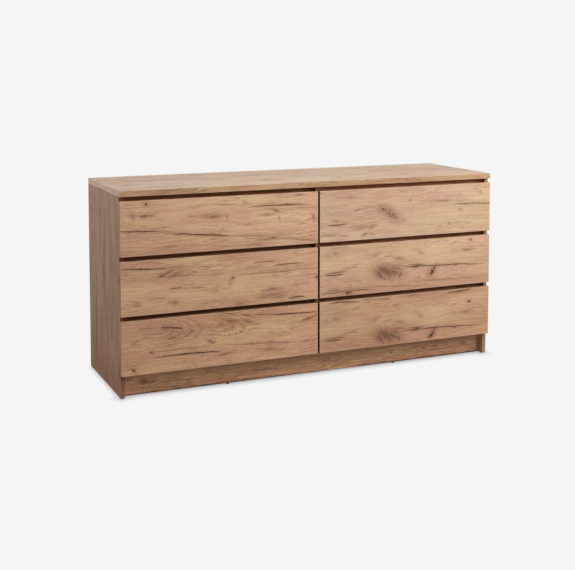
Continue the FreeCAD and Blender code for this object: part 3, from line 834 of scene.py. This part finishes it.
def drawer_laminate():
    """Warm grey foil pressed with a fine linen: two sets of threads at right angles."""
    material, tree, shader = new_material("linen_laminate")
    place = tree.place()
    weft = (LINEN_RUN, LINEN_RUN, LINEN_THREADS)
    warp = (LINEN_THREADS, LINEN_THREADS, LINEN_RUN)
    across = tree.noise(tree.vector("MULTIPLY", place, weft), detail=1.0)[0]
    along = tree.noise(tree.vector("MULTIPLY", place, warp), detail=1.0)[0]
    weave = tree.times(tree.math("ADD", across, along), 0.5)
    cloud = tree.noise(place, 6.0, 3.0)[0]
    colour = tree.mix(weave, srgb(205, 200, 190), srgb(188, 181, 170))
    colour = tree.mix(tree.times(cloud, 0.35), colour, srgb(196, 186, 172))
    tree.feed(shader["Base Color"], colour)
    tree.feed(shader["Roughness"], tree.math("MULTIPLY_ADD", weave, 0.2, 0.42))
    tree.feed(shader["Normal"], bump(tree, weave, 0.0002, 0.5))
    return material


NAIL_INSET = 0.008
NAIL_PITCH = 0.116
NAIL_HEAD = 0.0028


def nail_heads(tree, place, name):
    """1 on the heads of the nails that run round a board's rim, 0 beside them."""
    low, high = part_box(name)
    size = high - low
    parts = tree.split(tree.vector("SUBTRACT", place, tuple(low)))
    heads = 0.0
    for across, along in (("X", "Z"), ("Z", "X")):
        span = size[AXES.index(across)]
        middle_off = tree.math("ABSOLUTE", tree.math("SUBTRACT", parts[AXES.index(across)], span / 2))
        row_off = tree.math("SUBTRACT", middle_off, span / 2 - NAIL_INSET)
        length = size[AXES.index(along)]
        pitch = length / round(length / NAIL_PITCH)
        step_off = tree.math("PINGPONG", tree.math("ADD", parts[AXES.index(along)], pitch / 2), pitch / 2)
        far = tree.vector("LENGTH", tree.join(row_off, step_off, 0.0))
        heads = tree.math("MAXIMUM", heads, tree.fade(far, NAIL_HEAD, NAIL_HEAD * 0.8))
    return heads


BOARD_BROWN = srgb(152, 114, 80)
BOARD_DARK = srgb(134, 97, 65)
BOARD_PALE = srgb(166, 128, 92)
BOARD_FLECK = srgb(84, 56, 36)
NAIL_STEEL = srgb(190, 190, 188)


def hardboard(name, nailed=None):
    """Smooth brown hardboard, mottled with short pressed fibres, with nails round its rim if it is nailed."""
    material, tree, shader = new_material(name)
    place = tree.place()
    fleck = tree.noise(place, 900.0, 3.0, 0.7, 0.8)[0]
    mottle = tree.noise(place, 110.0, 5.0, 0.6)[0]
    cloud = tree.noise(place, 3.0, 2.0)[0]
    colour = tree.mix(tree.fade(mottle, 0.3, 0.7), BOARD_BROWN, BOARD_DARK)
    colour = tree.mix(tree.times(tree.fade(cloud, 0.35, 0.7), 0.25), colour, BOARD_PALE)
    colour = tree.mix(tree.times(tree.fade(fleck, 0.55, 0.75), 0.45), colour, BOARD_FLECK)
    roughness = tree.math("MULTIPLY_ADD", fleck, 0.25, 0.48)
    height = fleck
    if nailed:
        heads = nail_heads(tree, place, nailed)
        colour = tree.mix(heads, colour, NAIL_STEEL)
        roughness = tree.math("MULTIPLY_ADD", heads, -0.2, roughness)
        height = tree.math("ADD", fleck, heads)
        tree.feed(shader["Metallic"], heads)
    tree.feed(shader["Base Color"], colour)
    tree.feed(shader["Roughness"], roughness)
    tree.feed(shader["Normal"], bump(tree, height, 0.0002, 0.35))
    return material


def rolled_steel(name, light, dark, roughness):
    """Rolled sheet steel: fine lines along the rolling, a cloudy plating and rubbed patches."""
    material, tree, shader = new_material(name)
    place = tree.place()
    lines = tree.noise(tree.vector("MULTIPLY", place, (2600.0, 14.0, 2600.0)), detail=2.0)[0]
    cloud = tree.noise(place, 55.0, 4.0, 0.6)[0]
    rubbed = tree.fade(tree.noise(place, 18.0, 3.0)[0], 0.45, 0.7)
    colour = tree.mix(tree.times(tree.math("ADD", lines, cloud), 0.5), light, dark)
    tree.feed(shader["Base Color"], colour)
    gloss = tree.math("MULTIPLY_ADD", cloud, 0.16, roughness)
    tree.feed(shader["Roughness"], tree.math("MULTIPLY_ADD", rubbed, -0.08, gloss))
    tree.feed(shader["Normal"], bump(tree, lines, 0.0001, 0.3))
    shader["Metallic"].default_value = 1.0
    return material


def cast_zinc():
    """Die-cast zinc: dull, grainy, with a faint flow pattern."""
    material, tree, shader = new_material("cast_zinc")
    place = tree.place()
    grain = tree.noise(place, 2200.0, 2.0)[0]
    flow = tree.noise(place, 130.0, 3.0, 0.6, 1.2)[0]
    tree.feed(shader["Base Color"], tree.mix(flow, srgb(178, 180, 184), srgb(146, 148, 152)))
    tree.feed(shader["Roughness"], tree.math("MULTIPLY_ADD", grain, 0.25, 0.38))
    tree.feed(shader["Normal"], bump(tree, grain, 0.0001, 0.4))
    shader["Metallic"].default_value = 1.0
    return material


def moulded_plastic(name, tone, roughness):
    """Moulded plastic with a spark-eroded grain and paler scuffs."""
    material, tree, shader = new_material(name)
    place = tree.place()
    grain = tree.noise(place, 1800.0, 3.0, 0.6)[0]
    scuff = tree.fade(tree.noise(place, 160.0, 4.0, 0.7)[0], 0.56, 0.74)
    pale = tuple(min(1.0, value * 2.2) for value in tone)
    tree.feed(shader["Base Color"], tree.mix(tree.times(scuff, 0.5), tone, pale))
    tree.feed(shader["Roughness"], tree.math("MULTIPLY_ADD", grain, 0.3, roughness))
    tree.feed(shader["Normal"], bump(tree, grain, 0.0001, 0.4))
    return material


LINEN = drawer_laminate()
STEEL = rolled_steel("zinc_plated_steel", srgb(214, 217, 220), srgb(176, 180, 184), 0.26)
CAGE_STEEL = rolled_steel("bright_strip", srgb(228, 229, 230), srgb(196, 198, 200), 0.16)

wear(hardboard("hardboard"), [f"{drawer}_box_bottom" for drawer in DRAWERS])
for side in SIDES:
    wear(hardboard(f"nailed_hardboard_{side}", f"back_panel_{side}"), [f"back_panel_{side}"])
for board in ("left_side", "right_side", "back"):
    wear(LINEN, [f"{drawer}_box_{board}" for drawer in DRAWERS])
wear(STEEL, ["cabinet_runners"] + [f"{drawer}_box_runners" for drawer in DRAWERS])
wear(CAGE_STEEL, [f"{drawer}_ball_cages" for drawer in DRAWERS])
wear(cast_zinc(), ["cam_fasteners"])
wear(moulded_plastic("black_nylon", srgb(34, 33, 32), 0.4), ["glides"])


# -------------------- small fittings

SEGMENTS = 32
CHANNEL_STEEL = 0.0012
SCREW_RADIUS = 0.0036
SCREW_HEIGHT = 0.0016
RECESS_REACH = 0.0021
RECESS_HALF = 0.0005
RECESS_FLOOR = SCREW_HEIGHT * 0.3
SCREW_SHARES = (0.08, 0.50, 0.92)
SCREW_RINGS = [(0.0, SCREW_RADIUS), (SCREW_HEIGHT * 0.45, SCREW_RADIUS), (SCREW_HEIGHT, SCREW_RADIUS * 0.75)]
BUMPER_RADIUS = 0.004
BUMPER_HEIGHT = 0.0014
BUMPER_INSET = 0.012
BUMPER_RINGS = [(0.0, BUMPER_RADIUS), (BUMPER_HEIGHT * 0.5, BUMPER_RADIUS * 0.95),
                (BUMPER_HEIGHT * 0.85, BUMPER_RADIUS * 0.75), (BUMPER_HEIGHT, BUMPER_RADIUS * 0.4)]


def recess_radius(angle):
    """How far a screw's cross recess reaches from its middle."""
    turn = abs((angle + math.pi / 4) % (math.pi / 2) - math.pi / 4)
    return min(RECESS_REACH / math.cos(turn), RECESS_HALF / max(math.sin(turn), 0.001))


def turned_body(made, centre, facing, rings):
    """Adds a turned body to a mesh. A ring is a height and a radius, or what gives the radius at an angle."""
    turn = facing.to_track_quat("Z", "Y")
    loops = []
    for height, radius in rings:
        loop = []
        for count in range(SEGMENTS):
            angle = math.tau * count / SEGMENTS
            reach = radius(angle) if callable(radius) else radius
            corner = Vector((reach * math.cos(angle), reach * math.sin(angle), height))
            loop.append(made.verts.new(centre + turn @ corner))
        loops.append(loop)
    for lower, upper in zip(loops, loops[1:]):
        for count in range(SEGMENTS):
            after = (count + 1) % SEGMENTS
            made.faces.new((lower[count], lower[after], upper[after], upper[count]))
    made.faces.new(list(reversed(loops[0])))
    made.faces.new(loops[-1])


def add_piece(name, made, material, body):
    """Makes a finished mesh a piece of its own that moves with a body."""
    mesh = bpy.data.meshes.new(name)
    made.to_mesh(mesh)
    made.free()
    mesh.materials.append(material)
    piece = bpy.data.objects.new(name, mesh)
    bpy.context.scene.collection.objects.link(piece)
    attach(piece, body)


def add_runner_screws(drawer):
    """Three pan heads with cross recesses in each of a drawer's channels."""
    low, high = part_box(f"{drawer}_box_runners")
    recess = [(SCREW_HEIGHT, recess_radius), (RECESS_FLOOR, recess_radius)]
    made = bmesh.new()
    for side, outward in zip(SIDES, (-1.0, 1.0)):
        board_low, board_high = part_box(f"{drawer}_box_{side}_side")
        wall = (board_low if outward < 0 else board_high).x + outward * CHANNEL_STEEL
        for share in SCREW_SHARES:
            centre = Vector((wall, low.y + (high.y - low.y) * share, (low.z + high.z) / 2))
            turned_body(made, centre, Vector((outward, 0.0, 0.0)), SCREW_RINGS + recess)
    add_piece(f"{drawer}_runner_screws", made, STEEL, f"{drawer}_drawer")


def add_bumpers(drawer):
    """Two soft dots on the back of a front, where it meets the side panel's edge."""
    low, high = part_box(f"{drawer}_front")
    panel_low, panel_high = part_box(f"side_panel_{drawer.split('_')[1]}")
    made = bmesh.new()
    for height in (low.z + BUMPER_INSET, high.z - BUMPER_INSET):
        centre = Vector(((panel_low.x + panel_high.x) / 2, high.y, height))
        turned_body(made, centre, Vector((0.0, 1.0, 0.0)), BUMPER_RINGS)
    add_piece(f"{drawer}_bumpers", made, RUBBER, f"{drawer}_drawer")


RUBBER = moulded_plastic("grey_rubber", srgb(120, 118, 114), 0.5)
for drawer in DRAWERS:
    add_runner_screws(drawer)
    add_bumpers(drawer)


# -------------------- stage, light and camera

PAPER = (0.913, 0.913, 0.913, 1.0)
CONTACT = (0.35, 0.33, 0.32, 1.0)
FLOOR_RADIUS = 40.0
PLINTH_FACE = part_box("plinth")[0].y
# How far from the chest its contact shade ends in front of the plinth and elsewhere.
FRONT_REACH = 0.05
SIDE_REACH = 0.022
REACH_CHANGE = 0.02


def floor():
    """A pale sheet lit from within, with a soft shade only where the chest meets it."""
    mesh = bpy.data.meshes.new("floor")
    made = bmesh.new()
    bmesh.ops.create_circle(made, cap_ends=True, segments=96, radius=FLOOR_RADIUS)
    made.to_mesh(mesh)
    made.free()
    sheet = bpy.data.objects.new("floor", mesh)
    bpy.context.scene.collection.objects.link(sheet)
    material = bpy.data.materials.new("pale_floor")
    material.use_nodes = True
    nodes = material.node_tree.nodes
    nodes.remove(nodes["Principled BSDF"])
    tree = Tree(material.node_tree)
    shade = tree.add("ShaderNodeAmbientOcclusion", samples=12)
    place = tree.split(tree.place())
    reach = tree.fade(place[1], PLINTH_FACE + REACH_CHANGE, PLINTH_FACE, SIDE_REACH, FRONT_REACH)
    tree.feed(shade.inputs["Distance"], reach)
    glow = tree.add("ShaderNodeEmission", tree.mix(shade.outputs["AO"], CONTACT, PAPER))
    tree.feed(nodes["Material Output"].inputs["Surface"], glow.outputs[0])
    mesh.materials.append(material)
    for ray in ("diffuse", "glossy", "transmission", "shadow"):
        setattr(sheet, f"visible_{ray}", False)


SKY_LEVEL = 0.084
SKY_BELOW = 0.60
BACKDROP = 1.0
# Where the bright wall behind the chest starts and is full: from above, from below and from the front.
WALL_TOP = (0.7, 0.3)
WALL_FOOT = (-0.29, -0.03)
WALL_BEHIND = (0.1, 0.8)


def studio():
    """A white room: even to the camera. As light it is dim, and brighter below and behind the chest."""
    world = bpy.data.worlds.new("studio")
    bpy.context.scene.world = world
    world.use_nodes = True
    tree = Tree(world.node_tree)
    ray = tree.split(tree.add("ShaderNodeTexCoord").outputs["Generated"])
    light = tree.fade(ray[2], 0.0, -1.0, SKY_LEVEL, SKY_LEVEL + SKY_BELOW)
    wall = tree.times(tree.fade(ray[2], *WALL_TOP), tree.fade(ray[2], *WALL_FOOT))
    behind = tree.times(tree.fade(ray[1], *WALL_BEHIND), wall)
    light = tree.math("MULTIPLY_ADD", behind, BACKDROP, light)
    seen = tree.add("ShaderNodeLightPath").outputs["Is Camera Ray"]
    colour = tree.mix(seen, tree.join(light, light, light), PAPER)
    tree.feed(world.node_tree.nodes["Background"].inputs["Color"], colour)


def softbox(name, at, size, power):
    """A square soft light, aimed at the middle of the chest."""
    lamp = bpy.data.lights.new(name, "AREA")
    lamp.size = size
    lamp.energy = power
    middle = (cad_low + cad_high) / 2
    holder = bpy.data.objects.new(name, lamp)
    holder.location = at
    holder.rotation_euler = (middle - Vector(at)).to_track_quat("-Z", "Y").to_euler()
    bpy.context.scene.collection.objects.link(holder)


# The camera looks down so little that the verticals stay nearly parallel, and the shift frames the chest.
CAMERA_AT = (-1.7745, -4.0074, 1.2423)
CAMERA_TURN = 23.57
CAMERA_DOWN = 4.5
CAMERA_LENS = 66.60
CAMERA_SHIFT = -0.2397


def camera():
    lens = bpy.data.cameras.new("camera")
    lens.lens = CAMERA_LENS
    lens.shift_y = CAMERA_SHIFT
    holder = bpy.data.objects.new("camera", lens)
    holder.location = CAMERA_AT
    holder.rotation_euler = (math.radians(90 - CAMERA_DOWN), 0.0, math.radians(-CAMERA_TURN))
    bpy.context.scene.collection.objects.link(holder)
    bpy.context.scene.camera = holder


floor()
studio()
softbox("key_light", at=(2.6, -3.2, 2.4), size=1.8, power=63.0)
softbox("right_light", at=(4.2, -1.6, 2.0), size=1.3, power=120.0)
softbox("front_light", at=(0.2, -1.8, 3.4), size=1.4, power=73.0)
softbox("rear_left_light", at=(-2.6, 0.8, 2.6), size=1.2, power=14.0)
camera()
bpy.context.scene.view_settings.view_transform = "Standard"
bpy.context.scene.view_settings.look = "None"
